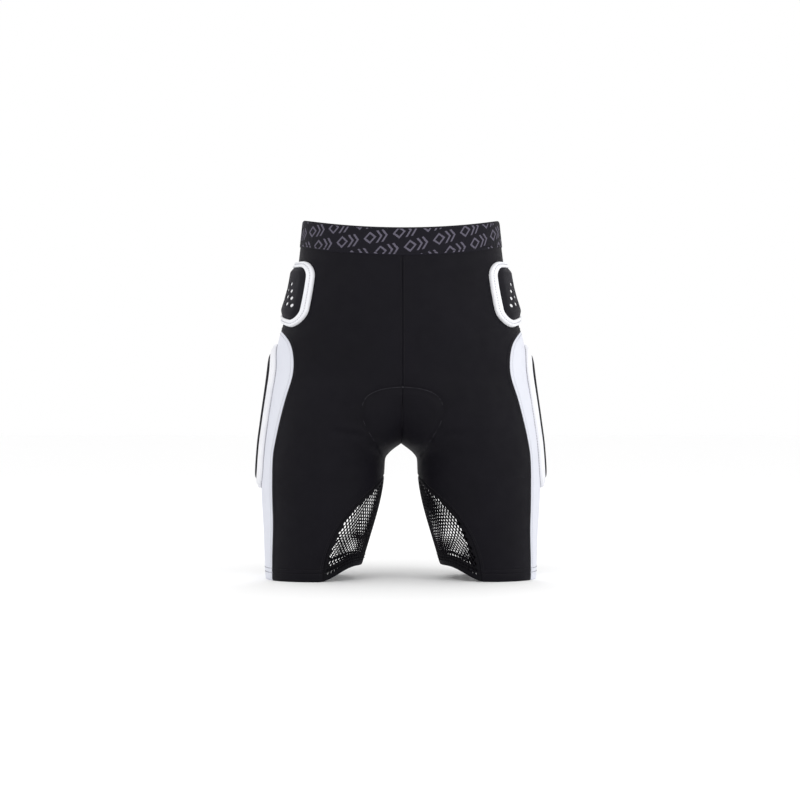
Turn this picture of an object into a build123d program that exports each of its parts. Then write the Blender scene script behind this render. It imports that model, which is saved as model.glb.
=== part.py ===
"""Padded impact shorts in their worn shape: an elastic waistband, stretch panels and sewn-on pads.

Millimetres. +Z is up, -Y is the front of the shorts, +X is the wearer's left.
The origin is on the ground plane, under the middle of the shorts' width and depth.
Left-hand pieces are modelled at +X, and each right-hand twin is the mirror image.
"""

import os
from math import cos, pi, sin

from build123d import *

# ---------------------------------------------------------------- driving dimensions
FABRIC = 2.0  # thickness of a stretch panel
SEAM_GAP = 0.3  # clearance between panels that are sewn edge to edge
HIP_LINE_GAP = 0.8  # clearance between the pelvis panels and the leg panels
CROTCH_Z = 195.0  # lowest point of the fabric between the legs
LEG_TOP_Z = 290.0  # above this height the two legs are one oval
BODY_Y = -18.8  # the wearer's axis, forward of the middle of the depth by half the seat's extra
REACH = 340.0  # further from the middle than any part of the shorts
INNER_HEM_RISE = 20.0  # how much higher the hem is cut at the inner thigh
HEM_HEIGHT = 18.0  # how high the turned-up hem reaches inside the leg
BELOW_HEM = 60.0  # how far the cutting zones run on under the hem

WAIST_TOP_Z = 507.0  # top of the waistband at the side seams
BAND_HEIGHT = 38.0
BAND_PROUD = 0.8  # how far the waistband stands out from the panels
FRONT_DIP = 18.0  # how much lower the waistband runs at the front centre
REAR_DIP = 5.0

PAD_GAP = 0.3  # between a pad and the fabric it is stitched to
PAD_FLOOR = 3.0  # top of a pad's moulded floor
PAD_RIM = 8.0  # top of its moulded rim
PAD_FOAM = 7.4  # top of the foam core
PAD_COVER = 9.4  # top of the ventilated cover
NEST_GAP = 0.2  # between the nested pieces of one pad
RIM_WIDTH = 8.8
VENT_SIDE = 4.0  # side of a diamond-shaped vent
VENT_COLUMNS = 15.0  # between columns of vents
VENT_ROWS = 10.4  # between vents in one column

SEAT_PAD_FOAM = 5.0  # thickness of the seat pad's foam
SEAT_PAD_FACING = 1.5  # and of its fleece facing

# Cross-sections of the left half: height, outer side, inner thigh, front and rear.
# From CROTCH_Z up the inner side is worked out, because the two halves share one oval.
STATIONS = [
    (-20.0, 190.0, 63.0, 70.0, 74.0),
    (0.0, 191.5, 60.0, 72.0, 76.0),
    (30.0, 193.0, 52.5, 75.0, 80.0),
    (75.0, 195.0, 39.0, 81.0, 87.0),
    (108.0, 197.0, 30.0, 86.0, 93.0),
    (140.0, 197.5, 24.5, 90.0, 99.0),
    (165.0, 196.5, 23.0, 93.0, 106.0),
    (182.0, 195.2, 17.0, 95.0, 111.0),
    (195.0, 194.0, None, 97.0, 116.0),
    (210.0, 192.0, None, 99.0, 121.0),
    (232.0, 189.0, None, 102.0, 129.0),
    (260.0, 185.0, None, 105.0, 137.0),
    (290.0, 181.0, None, 108.0, 142.0),
    (336.0, 174.0, None, 112.0, 139.0),
    (370.0, 163.5, None, 111.5, 131.0),
    (410.0, 151.5, None, 109.0, 120.0),
    (450.0, 145.0, None, 104.5, 110.0),
    (480.0, 141.5, None, 101.0, 104.0),
    (508.0, 138.5, None, 98.0, 100.5),
    (530.0, 136.0, None, 96.0, 98.5),
]
SECTION_POINTS = 12
SEAM_ANGLE = 4 * pi / 3  # where each closed section curve starts, away from every seam

# The line where a leg turns against the pelvis, as (x, z), from the crotch to the side.
HIP_LINE = ((0.0, 195.0), (172.0, 342.0))

# Sketch planes through the wearer's axis: the sketch's y axis is +Z in all three.
SIDE = Plane(origin=(0, BODY_Y, 0), x_dir=(0, 1, 0), z_dir=(1, 0, 0))
FRONT = Plane(origin=(0, BODY_Y, 0), x_dir=(1, 0, 0), z_dir=(0, -1, 0))
REAR = Plane(origin=(0, BODY_Y, 0), x_dir=(-1, 0, 0), z_dir=(0, 1, 0))


# ---------------------------------------------------------------- the body that the shorts wrap
def section_edge(station, grow):
    """The closed curve of one cross-section, grown outwards by `grow`.

    Every section has the same parameters, so that the loft through them stays light.
    """
    z, outer, inner, front, rear = station
    if inner is None:
        shared = max(0.0, (LEG_TOP_Z - z) / (LEG_TOP_Z - CROTCH_Z))
        half_width = outer / (1 + shared)
        centre = shared * half_width
    else:
        half_width = (outer - inner) / 2
        centre = (outer + inner) / 2
    points = []
    for k in range(SECTION_POINTS):
        angle = SEAM_ANGLE + 2 * pi * k / SECTION_POINTS
        depth = (rear if sin(angle) > 0 else front) + grow
        points.append((centre + (half_width + grow) * cos(angle), BODY_Y + depth * sin(angle)))
    parameters = [k / SECTION_POINTS for k in range(SECTION_POINTS + 1)]
    return Edge.make_spline(points, periodic=True, parameters=parameters)


def body_form(grow):
    """The solid inside the left half of the shorts, grown outwards by `grow`.

    Above LEG_TOP_Z it is the whole oval of the pelvis, on both sides of the middle.
    """
    with BuildPart() as form:
        for station in STATIONS:
            with BuildSketch(Plane.XY.offset(station[0])):
                with BuildLine():
                    add(section_edge(station, grow))
                make_face()
        loft()
    return form.part


FORMS = {}


def layer(inner, outer, *zones, cut=()):
    """The skin between two growths of the form, inside every zone and outside each cut."""
    for grow in (inner, outer):
        if grow not in FORMS:
            FORMS[grow] = body_form(grow)
    with BuildPart() as skin:
        add(FORMS[outer])
        add(FORMS[inner], mode=Mode.SUBTRACT)
        for zone in zones:
            add(zone, mode=Mode.INTERSECT)
        for zone in cut:
            add(zone, mode=Mode.SUBTRACT)
    return skin.part


# ---------------------------------------------------------------- zones
def zone_of(outline, plane, low, high, inset=0.0):
    """An outline drawn in `plane`, shrunk by `inset` and made solid from `low` to `high`."""
    with BuildPart() as zone:
        with BuildSketch(plane.offset(low)):
            with BuildLine():
                outline()
            make_face()
            if inset:
                offset(amount=-inset)
        extrude(amount=high - low)
    return zone.part


def waist_outline(top_drop, bottom_drop):
    """Side view between two edges that run `top_drop` and `bottom_drop` under the waist."""

    def edge(drop):
        level = WAIST_TOP_Z - drop
        return Spline(
            (-160.0, level - FRONT_DIP * 1.5), (-105.0, level - FRONT_DIP),
            (-50.0, level - FRONT_DIP * 0.3), (0.0, level), (50.0, level - REAR_DIP * 0.3),
            (105.0, level - REAR_DIP), (180.0, level - REAR_DIP * 1.5),
        )

    def draw():
        top, bottom = edge(top_drop), edge(bottom_drop)
        Line(top @ 0, bottom @ 0)
        Line(top @ 1, bottom @ 1)

    return draw


def side_panel_outline():
    """Side view of the white panel: an arched top, drawn in gently at the knee."""
    arch = Spline(
        (-38.0, -20.0), (-39.0, 10.0), (-50.5, 108.0), (-54.0, 190.0), (-58.5, 250.0),
        (-58.0, 300.0), (-50.0, 332.0), (-33.0, 344.0), (0.0, 350.5), (50.0, 346.5),
        (82.0, 320.0), (90.0, 270.0), (84.0, 190.0), (72.0, 108.0), (54.0, 10.0), (53.0, -20.0),
    )
    Line(arch @ 1, arch @ 0)


def mesh_outline():
    """Front view of the inner-thigh mesh: one curved edge from the crotch to the hem."""
    edge = Spline(
        (16.0, 156.0), (34.0, 135.0), (59.0, 112.0), (81.0, 87.0), (96.0, 60.0),
        (105.5, 33.0), (110.0, 6.0), (111.5, -20.0),
    )
    Polyline(edge @ 1, (-20.0, -20.0), (-20.0, 156.0), edge @ 0)


def hem_outline(lift):
    """Front view of everything above the hem, which rises towards the inner thigh."""

    def draw():
        rise = Spline(
            (116.0, lift), (89.0, lift + INNER_HEM_RISE / 2), (62.0, lift + INNER_HEM_RISE),
            tangents=((-1, 0), (-1, 0)),
        )
        top = 2 * REACH
        Polyline(rise @ 0, (REACH, lift), (REACH, top), (0.0, top), (0.0, (rise @ 1).Y), rise @ 1)

    return draw


def hip_line_outline(side):
    """Front view of what lies over (side 1) or under (side -1) the hip line, clear of it."""
    (x0, z0), (x1, z1) = HIP_LINE
    slope = (z1 - z0) / (x1 - x0)

    def draw():
        low = (-REACH, z0 + slope * (-REACH - x0) + side * HIP_LINE_GAP / 2)
        high = (REACH, z0 + slope * (REACH - x0) + side * HIP_LINE_GAP / 2)
        far = side * 4 * REACH
        Polyline(low, high, (REACH, far), (-REACH, far), close=True)

    return draw


def half_space_outline(left, right):
    """Front or side view of a tall strip between two offsets from the middle."""

    def draw():
        Polyline((left, -REACH), (right, -REACH), (right, 2 * REACH), (left, 2 * REACH), close=True)

    return draw


left_half = zone_of(half_space_outline(SEAM_GAP / 2, REACH), FRONT, -REACH, REACH)
left_side = zone_of(half_space_outline(0.0, REACH), FRONT, -REACH, REACH)
front_half = zone_of(half_space_outline(-REACH, -SEAM_GAP / 2), SIDE, -REACH, REACH)
rear_half = zone_of(half_space_outline(SEAM_GAP / 2, REACH), SIDE, -REACH, REACH)
band_zone = zone_of(waist_outline(0.0, BAND_HEIGHT), SIDE, -REACH, REACH)
below_band = zone_of(
    waist_outline(BAND_HEIGHT + SEAM_GAP, WAIST_TOP_Z + BELOW_HEM), SIDE, -REACH, REACH
)
side_zone = zone_of(side_panel_outline, SIDE, 100.0, REACH)
mesh_zone = zone_of(mesh_outline, FRONT, -REACH, REACH)
above_hem = zone_of(hem_outline(0.0), FRONT, -REACH, REACH)
above_turn_up = zone_of(hem_outline(HEM_HEIGHT), FRONT, -REACH, REACH)
over_hip_line = zone_of(hip_line_outline(1), FRONT, -REACH, REACH)
under_hip_line = zone_of(hip_line_outline(-1), FRONT, -REACH, REACH)

# ---------------------------------------------------------------- writing the pieces
os.makedirs("parts", exist_ok=True)


def write(name, piece):
    """Labels a finished piece and writes it as parts/NAME.step."""
    piece.label = name
    export_step(piece, f"parts/{name}.step")


def write_pair(name, left):
    """Writes a left-hand piece and its mirror image."""
    write(f"{name}_left", left)
    with BuildPart() as right:
        mirror(left, about=Plane.YZ)
    write(f"{name}_right", right.part)


# ---------------------------------------------------------------- waistband
with BuildPart() as waistband:
    add(layer(-FABRIC, BAND_PROUD, band_zone))
write("waistband", waistband.part)

# ---------------------------------------------------------------- stretch panels
stretch_skin = layer(-FABRIC, 0.0, left_half, below_band, above_hem)
with BuildPart() as pelvis_skin:
    add(stretch_skin)
    add(over_hip_line, mode=Mode.INTERSECT)
with BuildPart() as leg_skin:
    add(stretch_skin)
    add(under_hip_line, mode=Mode.INTERSECT)

for panel_name, half in (("front", front_half), ("rear", rear_half)):
    with BuildPart() as pelvis_panel:
        add(pelvis_skin.part)
        add(half, mode=Mode.INTERSECT)
        add(side_zone, mode=Mode.SUBTRACT)
    write_pair(f"{panel_name}_panel", pelvis_panel.part)

    with BuildPart() as leg_panel:
        add(leg_skin.part)
        add(half, mode=Mode.INTERSECT)
        add(side_zone, mode=Mode.SUBTRACT)
        add(mesh_zone, mode=Mode.SUBTRACT)
    write_pair(f"{panel_name}_leg_panel", leg_panel.part)

with BuildPart() as side_panel_top:
    add(pelvis_skin.part)
    add(side_zone, mode=Mode.INTERSECT)
write_pair("side_panel_top", side_panel_top.part)

with BuildPart() as side_panel:
    add(leg_skin.part)
    add(side_zone, mode=Mode.INTERSECT)
write_pair("side_panel", side_panel.part)

with BuildPart() as thigh_mesh:
    add(leg_skin.part)
    add(mesh_zone, mode=Mode.INTERSECT)
write_pair("thigh_mesh", thigh_mesh.part)

# The hem is turned up inside the leg and sewn down with two rows of stitches.
hem_outer = -FABRIC - PAD_GAP
with BuildPart() as hem_facing:
    add(layer(hem_outer - FABRIC / 2, hem_outer, left_half, above_hem, cut=(above_turn_up,)))
write_pair("hem_facing", hem_facing.part)


# ---------------------------------------------------------------- impact pads
def hip_pad_outline():
    """Side view of a hip pad: a rounded shield whose lower edge rises towards the rear."""
    corners = [(-74.0, 350.0), (-64.5, 446.0), (38.0, 449.0), (54.0, 372.0)]
    FilletPolyline(*corners, radius=(22, 26, 28, 28), close=True)


def thigh_pad_outline():
    """Side view of a thigh pad: long, with a round top and a narrower round foot."""
    corners = [(-23.0, 128.0), (-24.0, 332.0), (76.0, 332.0), (66.0, 128.0)]
    FilletPolyline(*corners, radius=(32, 42, 44, 34), close=True)


def tailbone_pad_outline():
    """Rear view of the tailbone pad: a shield that narrows downwards."""
    corners = [(-56.0, 446.0), (56.0, 446.0), (34.0, 318.0), (-34.0, 318.0)]
    FilletPolyline(*corners, radius=(24, 24, 28, 28), close=True)


def vent_places(centre, columns, rows, rise, lean):
    """A grid of vents: each column stands `rise` higher and each row `lean` further on."""
    return [
        (
            centre[0] + (column - (columns - 1) / 2) * VENT_COLUMNS + (row - (rows - 1) / 2) * lean,
            centre[1] + (column - (columns - 1) / 2) * rise + (row - (rows - 1) / 2) * VENT_ROWS,
        )
        for column in range(columns)
        for row in range(rows)
    ]


def pad_pieces(outline, plane, low, vents):
    """The moulded shell, foam core and ventilated cover of a pad seen along `plane`'s normal."""
    whole = zone_of(outline, plane, low, REACH)
    well = zone_of(outline, plane, low, REACH, inset=RIM_WIDTH)
    core_zone = zone_of(outline, plane, low, REACH, inset=RIM_WIDTH + NEST_GAP)
    with BuildPart() as shell:
        add(layer(PAD_GAP, PAD_RIM, whole))
        add(layer(PAD_FLOOR, PAD_RIM + 1.0, well), mode=Mode.SUBTRACT)
    with BuildPart() as core:
        add(layer(PAD_FLOOR + NEST_GAP, PAD_FOAM, core_zone))
    with BuildPart() as cover:
        add(layer(PAD_FOAM + NEST_GAP, PAD_COVER, core_zone))
        with BuildSketch(plane.offset(low)):
            with Locations(*vents):
                Rectangle(VENT_SIDE, VENT_SIDE, rotation=45)
        extrude(amount=REACH - low, mode=Mode.SUBTRACT)
    return {"shell": shell.part, "core": core.part, "cover": cover.part}


hip_pad = pad_pieces(hip_pad_outline, SIDE, 80.0, vent_places((-15.5, 402.0), 4, 4, 2.5, 6.0))
for piece_name, piece in hip_pad.items():
    write_pair(f"hip_pad_{piece_name}", piece)

thigh_pad = pad_pieces(thigh_pad_outline, SIDE, 100.0, vent_places((27.0, 230.0), 3, 12, 0.0, 0.0))
for piece_name, piece in thigh_pad.items():
    write_pair(f"thigh_pad_{piece_name}", piece)

tailbone_pad = pad_pieces(tailbone_pad_outline, REAR, 60.0, vent_places((0.0, 384.0), 3, 7, 0.0, 0.0))
for piece_name, piece in tailbone_pad.items():
    write(f"tailbone_pad_{piece_name}", piece)


# ---------------------------------------------------------------- seat pad, sewn in at the crotch
def seat_pad_front_outline():
    """Front view of the seat pad, down to where it ends inside the legs."""
    side = Spline(
        (0.0, 271.0), (28.0, 268.0), (51.0, 256.0), (57.0, 238.0), (49.0, 212.0), (36.0, 190.0),
        (27.0, 168.0), (0.0, 160.0), tangents=((1, 0), (-1, 0)),
    )
    Line(side @ 1, side @ 0)


def seat_pad_rear_outline():
    """Rear view of the seat pad, which spreads wide over the sit bones."""
    side = Spline(
        (0.0, 330.0), (-45.0, 326.0), (-72.0, 302.0), (-74.0, 262.0), (-58.0, 220.0),
        (-38.0, 190.0), (-27.0, 168.0), (0.0, 160.0), tangents=((-1, 0), (1, 0)),
    )
    Line(side @ 1, side @ 0)


seat_front = zone_of(seat_pad_front_outline, FRONT, 0.0, REACH)
seat_rear = zone_of(seat_pad_rear_outline, REAR, 0.0, REACH)
foam_outer = -FABRIC - PAD_GAP
foam_inner = foam_outer - SEAT_PAD_FOAM
facing_outer = foam_inner - NEST_GAP
facing_inner = facing_outer - SEAT_PAD_FACING

with BuildPart() as seat_zone:
    add(seat_front)
    add(seat_rear)

for piece_name, inner, outer in (
    ("seat_pad_foam", foam_inner, foam_outer),
    ("seat_pad_facing", facing_inner, facing_outer),
):
    with BuildPart() as seat_pad_piece:
        add(layer(inner, outer, left_side, seat_zone.part))
        mirror(about=Plane.YZ)
    write(piece_name, seat_pad_piece.part)
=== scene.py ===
"""Looks of the padded impact shorts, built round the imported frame.

+Z is up, -Y is the front, +X is the wearer's left. Sizes are in millimetres until make() turns
them into metres. Cloth pieces are grids on the same body form that the CAD panels follow. Each
left-hand piece is made first, and its points are mirrored for the right-hand one.
"""

import math
from functools import partial

import bmesh
import bpy
import numpy as np
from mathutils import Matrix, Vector
from mathutils.geometry import delaunay_2d_cdt


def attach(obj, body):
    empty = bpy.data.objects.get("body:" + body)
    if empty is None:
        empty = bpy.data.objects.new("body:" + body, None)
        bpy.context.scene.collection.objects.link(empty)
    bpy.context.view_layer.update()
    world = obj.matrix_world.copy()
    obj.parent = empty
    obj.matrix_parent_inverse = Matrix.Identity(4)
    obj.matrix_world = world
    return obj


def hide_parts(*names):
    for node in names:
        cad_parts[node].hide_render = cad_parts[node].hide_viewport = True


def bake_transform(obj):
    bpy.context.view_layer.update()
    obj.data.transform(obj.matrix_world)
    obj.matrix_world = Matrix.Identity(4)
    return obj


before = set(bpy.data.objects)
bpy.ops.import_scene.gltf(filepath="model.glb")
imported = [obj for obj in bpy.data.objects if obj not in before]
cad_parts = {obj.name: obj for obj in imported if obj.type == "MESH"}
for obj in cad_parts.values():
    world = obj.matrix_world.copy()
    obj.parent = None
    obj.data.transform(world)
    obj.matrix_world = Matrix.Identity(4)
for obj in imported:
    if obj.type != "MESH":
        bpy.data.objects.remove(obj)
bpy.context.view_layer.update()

MM = 0.001
BODY_Y = -18.8  # the wearer's axis, as in the CAD
CROTCH_Z = 195.0
LEG_TOP_Z = 290.0
WAIST_TOP_Z = 507.0
BAND_HEIGHT = 38.0
BAND_BOTTOM_Z = WAIST_TOP_Z - BAND_HEIGHT
FRONT_DIP = 18.0
REAR_DIP = 5.0
INNER_HEM_RISE = 20.0
HEM_HEIGHT = 18.0
CLOTH = 1.3  # thickness of the stretch knit
FRONT, REAR = -1, 1
SIDES = ("left", "right")

# Cross-sections of the left half: height, outer side, inner thigh, front and rear, as in the CAD.
STATIONS = [
    (-20.0, 190.0, 63.0, 70.0, 74.0),
    (0.0, 191.5, 60.0, 72.0, 76.0),
    (30.0, 193.0, 52.5, 75.0, 80.0),
    (75.0, 195.0, 39.0, 81.0, 87.0),
    (108.0, 197.0, 30.0, 86.0, 93.0),
    (140.0, 197.5, 24.5, 90.0, 99.0),
    (165.0, 196.5, 23.0, 93.0, 106.0),
    (182.0, 195.2, 17.0, 95.0, 111.0),
    (195.0, 194.0, None, 97.0, 116.0),
    (210.0, 192.0, None, 99.0, 121.0),
    (232.0, 189.0, None, 102.0, 129.0),
    (260.0, 185.0, None, 105.0, 137.0),
    (290.0, 181.0, None, 108.0, 142.0),
    (336.0, 174.0, None, 112.0, 139.0),
    (370.0, 163.5, None, 111.5, 131.0),
    (410.0, 151.5, None, 109.0, 120.0),
    (450.0, 145.0, None, 104.5, 110.0),
    (480.0, 141.5, None, 101.0, 104.0),
    (508.0, 138.5, None, 98.0, 100.5),
    (530.0, 136.0, None, 96.0, 98.5),
]


# ---------------------------------------------------------------- curves
def arc_length(points):
    """The distance run along a line of points, at each of them."""
    return np.concatenate([[0], np.cumsum(np.linalg.norm(np.diff(points, axis=0), axis=1))])


def unit(vectors):
    return vectors / np.linalg.norm(vectors, axis=-1, keepdims=True)


def spline(xs, ys):
    """A natural cubic spline through the points, as a function of arrays."""
    xs, ys = np.array(xs, float), np.array(ys, float)
    n = len(xs)
    h = np.diff(xs)
    a, r = np.zeros((n, n)), np.zeros(n)
    a[0, 0] = a[-1, -1] = 1.0
    for i in range(1, n - 1):
        a[i, i - 1 : i + 2] = h[i - 1], 2 * (h[i - 1] + h[i]), h[i]
        r[i] = 6 * ((ys[i + 1] - ys[i]) / h[i] - (ys[i] - ys[i - 1]) / h[i - 1])
    m = np.linalg.solve(a, r)

    def value(x):
        x = np.clip(np.asarray(x, float), xs[0], xs[-1])
        i = np.clip(np.searchsorted(xs, x) - 1, 0, n - 2)
        t0, t1, d = x - xs[i], xs[i + 1] - x, h[i]
        return (
            (m[i] * t1**3 + m[i + 1] * t0**3) / (6 * d)
            + (ys[i] / d - m[i] * d / 6) * t1
            + (ys[i + 1] / d - m[i + 1] * d / 6) * t0
        )

    return value


def curve_through(points, count=400):
    """Evenly parametrised points of a smooth curve through the given ones."""
    p = np.array(points, float)
    t = arc_length(p)
    u = np.linspace(0, t[-1], count)
    return np.stack([spline(t, p[:, k])(u) for k in range(p.shape[1])], axis=1)


def smooth(t):
    t = np.clip(t, 0.0, 1.0)
    return t * t * (3 - 2 * t)


# ---------------------------------------------------------------- the body form
def station_rows():
    for z, outer, inner, front, rear in STATIONS:
        if inner is None:
            shared = max(0.0, (LEG_TOP_Z - z) / (LEG_TOP_Z - CROTCH_Z))
            half = outer / (1 + shared)
            yield z, half, shared * half, front, rear
        else:
            yield z, (outer - inner) / 2, (outer + inner) / 2, front, rear


_rows = np.array(list(station_rows()))
half_width, centre, front_depth, rear_depth = (
    spline(_rows[:, 0], _rows[:, k]) for k in (1, 2, 3, 4)
)


def body_points(theta, z0, grow=0.0):
    """Points of the left half. theta is 0 at the outer side, negative in front; z0 is the level."""
    theta, z0 = np.broadcast_arrays(np.asarray(theta, float), np.asarray(z0, float))
    z = z0
    for _ in range(2):  # the form is read at the height where the level runs
        depth = np.where(np.sin(theta) > 0, rear_depth(z), front_depth(z)) + grow
        x = centre(z) + (half_width(z) + grow) * np.cos(theta)
        y = depth * np.sin(theta)
        dip = np.where(y < 0, FRONT_DIP, REAR_DIP) * (np.abs(y) / 105.0) ** 1.6
        rise = INNER_HEM_RISE * smooth((116.0 - x) / 54.0)
        z = z0 - dip * smooth((z0 - 370.0) / 95.0) + rise * smooth((70.0 - z0) / 70.0)
    return np.stack([x, BODY_Y + y, z], axis=-1)


def body_normals(theta, z0):
    step = 1e-3
    across = body_points(theta + step, z0) - body_points(theta - step, z0)
    up = body_points(theta, z0 + 0.5) - body_points(theta, z0 - 0.5)
    n = np.cross(across, up)
    return unit(n)


# Seams, as functions of the level z0.
SIDE_PANEL_EDGE = curve_through([
    (-38.0, -20.0), (-39.0, 10.0), (-50.5, 108.0), (-54.0, 190.0), (-58.5, 250.0),
    (-58.0, 300.0), (-50.0, 332.0), (-33.0, 344.0), (0.0, 350.5), (50.0, 346.5),
    (82.0, 320.0), (90.0, 270.0), (84.0, 190.0), (72.0, 108.0), (54.0, 10.0), (53.0, -20.0),
])
MESH_EDGE = curve_through([
    (16.0, 156.0), (34.0, 135.0), (59.0, 112.0), (81.0, 87.0), (96.0, 60.0),
    (105.5, 33.0), (110.0, 6.0), (111.5, -20.0),
])[::-1]
_apex = int(np.argmax(SIDE_PANEL_EDGE[:, 1]))
SIDE_PANEL_TOP_Z = float(SIDE_PANEL_EDGE[_apex, 1])
_edge_of = {FRONT: SIDE_PANEL_EDGE[: _apex + 1], REAR: SIDE_PANEL_EDGE[_apex:][::-1]}
APEX_FADE = 90.0  # over this height the side seam comes round from the panel's apex to the side


def side_seam(face, z0):
    """The angle of the side panel's edge, or of the side seam above it."""
    edge = _edge_of[face]
    y = np.interp(z0, edge[:, 1], edge[:, 0])
    depth = np.where(y < 0, front_depth(z0), rear_depth(z0))
    angle = np.arcsin(np.clip(y / depth, -1, 1))
    return angle * smooth((SIDE_PANEL_TOP_Z + APEX_FADE - z0) / APEX_FADE)


def inner_seam(face, z0):
    """The angle of the centre seam, and below the crotch of the inseam and then the mesh's edge."""
    middle = np.arccos(np.clip(-centre(z0) / half_width(z0), -1, 1))
    middle = np.where(z0 < CROTCH_Z, math.pi, middle)
    x = np.interp(z0, MESH_EDGE[:, 1], MESH_EDGE[:, 0])
    mesh = np.arccos(np.clip((x - centre(z0)) / half_width(z0), -1, 1))
    mesh = np.where(z0 < MESH_EDGE[-1, 1], mesh, math.pi)
    return face * np.minimum(middle, mesh)


MESH_TOP_Z = float(
    np.max([z for z in np.arange(60.0, 160.0, 0.25) if abs(inner_seam(FRONT, z)) < math.pi - 1e-4])
)


# ---------------------------------------------------------------- relief of the cloth
SEAT_PAD_FRONT = curve_through([
    (0.0, 271.0), (28.0, 268.0), (51.0, 256.0), (57.0, 238.0), (49.0, 212.0), (36.0, 190.0),
    (27.0, 168.0), (24.0, 150.0),
], 60)
SEAT_PAD_REAR = curve_through([
    (0.0, 330.0), (45.0, 326.0), (72.0, 302.0), (74.0, 262.0), (58.0, 220.0),
    (38.0, 190.0), (27.0, 168.0), (24.0, 150.0),
], 60)


def depth_inside(points, outline):
    """How far points (x, z) lie inside the outline that runs from the middle line; negative outside."""
    a, b = outline[:-1], outline[1:]
    d = b - a
    t = np.clip(
        ((points[:, None] - a) * d).sum(-1) / (d * d).sum(-1), 0, 1
    )
    gap = np.linalg.norm(points[:, None] - (a + t[..., None] * d), axis=-1)
    k = gap.argmin(1)
    rows = np.arange(len(points))
    near = gap[rows, k]
    side = d[k, 0] * (points[:, 1] - a[k, 1]) - d[k, 1] * (points[:, 0] - a[k, 0])
    return np.where(side < 0, near, -near)


# Creases in the worn cloth: two ends (x, z), width, depth, and the face that they are on.
CREASES = [
    ((38.0, 196.0), (108.0, 205.0), 5.0, 2.3, FRONT),
    ((60.0, 228.0), (140.0, 262.0), 9.0, 1.3, FRONT),
    ((30.0, 160.0), (96.0, 150.0), 8.0, 1.1, FRONT),
    ((30.0, 182.0), (112.0, 176.0), 6.0, 1.6, REAR),
    ((36.0, 166.0), (92.0, 140.0), 8.0, 1.0, REAR),
    ((26.0, 205.0), (120.0, 214.0), 10.0, 1.2, REAR),
]


def crease_relief(x, z, face):
    total = np.zeros_like(x)
    for (x0, z0), (x1, z1), width, depth, on in CREASES:
        if on != face:
            continue
        d = np.array([x1 - x0, z1 - z0])
        length = np.hypot(*d)
        d /= length
        along = ((x - x0) * d[0] + (z - z0) * d[1]) / length
        across = (x - x0) * -d[1] + (z - z0) * d[0] - 5.0 * np.sin(along * 2.6)
        fade = smooth(along / 0.35) * smooth((1 - along) / 0.45)
        r = across / width
        total += fade * depth * (-np.exp(-r * r) + 0.7 * np.exp(-((r - 1.9) ** 2)))
    return total


SEAT_RISE, SEAT_RISE_FALL, SEAT_CHANNEL = 3.2, 0.7, 1.6  # the seat pad's relief, and its sewn edge


def cloth_relief(p, face, side):
    """Height of the worn cloth over the body form: creases, seat pad, and slow unevenness."""
    x, y, z = p[:, 0], p[:, 1] - BODY_Y, p[:, 2]
    shift = 0.0 if side == "left" else 1.7
    total = 0.28 * np.sin(x / 23 + z / 41 + shift) * np.sin(z / 29 - y / 37 + 2 * shift)
    total += 0.14 * np.sin(x / 9.5 - z / 17 + shift) * np.sin(y / 13 + z / 21)
    strength = 1.0 if side == "right" else 0.75
    total += strength * crease_relief(x, z, face)
    outline = SEAT_PAD_FRONT if face == FRONT else SEAT_PAD_REAR
    near = (x < 95) & (z < 345) & (z > 150)
    if near.any():
        d = depth_inside(np.stack([x[near], z[near]], 1), outline)
        low = smooth((z[near] - 160.0) / 25.0)
        if face == REAR:  # it lies flat where the tailbone pad sits on it
            low *= smooth((316.0 - z[near]) / 14.0)
        raised = SEAT_RISE - SEAT_RISE_FALL * np.clip(y[near] / 40.0, -1, 1)
        raised = raised * smooth((d - 1.0) / 9.0)
        channel = -SEAT_CHANNEL * np.exp(-(((d - 0.5) / 1.7) ** 2))
        total[near] += low * (raised + channel)
    return total


# ---------------------------------------------------------------- making objects
def make(name, verts, faces, material, attributes=None):
    """A mesh object from points in millimetres."""
    mesh = bpy.data.meshes.new(name)
    verts = np.asarray(verts, float).reshape(-1, 3) * MM
    mesh.from_pydata(verts.tolist(), [], [list(map(int, f)) for f in faces])
    for key, values in (attributes or {}).items():
        layer = mesh.attributes.new(key, "FLOAT_VECTOR", "POINT")
        layer.data.foreach_set("vector", np.asarray(values, np.float32).ravel())
    mesh.validate()
    mesh.polygons.foreach_set("use_smooth", [True] * len(mesh.polygons))
    obj = bpy.data.objects.new(name, mesh)
    bpy.context.scene.collection.objects.link(obj)
    mesh.materials.append(material)
    return obj


def mirrored(verts, faces, side):
    """The points and faces as they are for the left side, or their mirror image."""
    if side == "left":
        return verts, faces
    return np.asarray(verts) * np.array([-1, 1, 1]), [tuple(reversed(f)) for f in faces]


def bake_modifiers(obj):
    depsgraph = bpy.context.evaluated_depsgraph_get()
    done = bpy.data.meshes.new_from_object(obj.evaluated_get(depsgraph))
    obj.modifiers.clear()
    old, obj.data = obj.data, done
    bpy.data.meshes.remove(old)
    return obj


def thicken(obj, thickness):
    """Gives an open sheet a thickness, inwards from its face."""
    solid = obj.modifiers.new("thickness", "SOLIDIFY")
    solid.thickness, solid.offset, solid.use_even_offset = thickness * MM, -1, False
    return bake_modifiers(obj)


def grid_faces(rows, cols):
    i, j = np.meshgrid(np.arange(rows - 1), np.arange(cols - 1), indexing="ij")
    a = (i * cols + j).ravel()
    return np.stack([a, a + 1, a + cols + 1, a + cols], axis=1)


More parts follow.
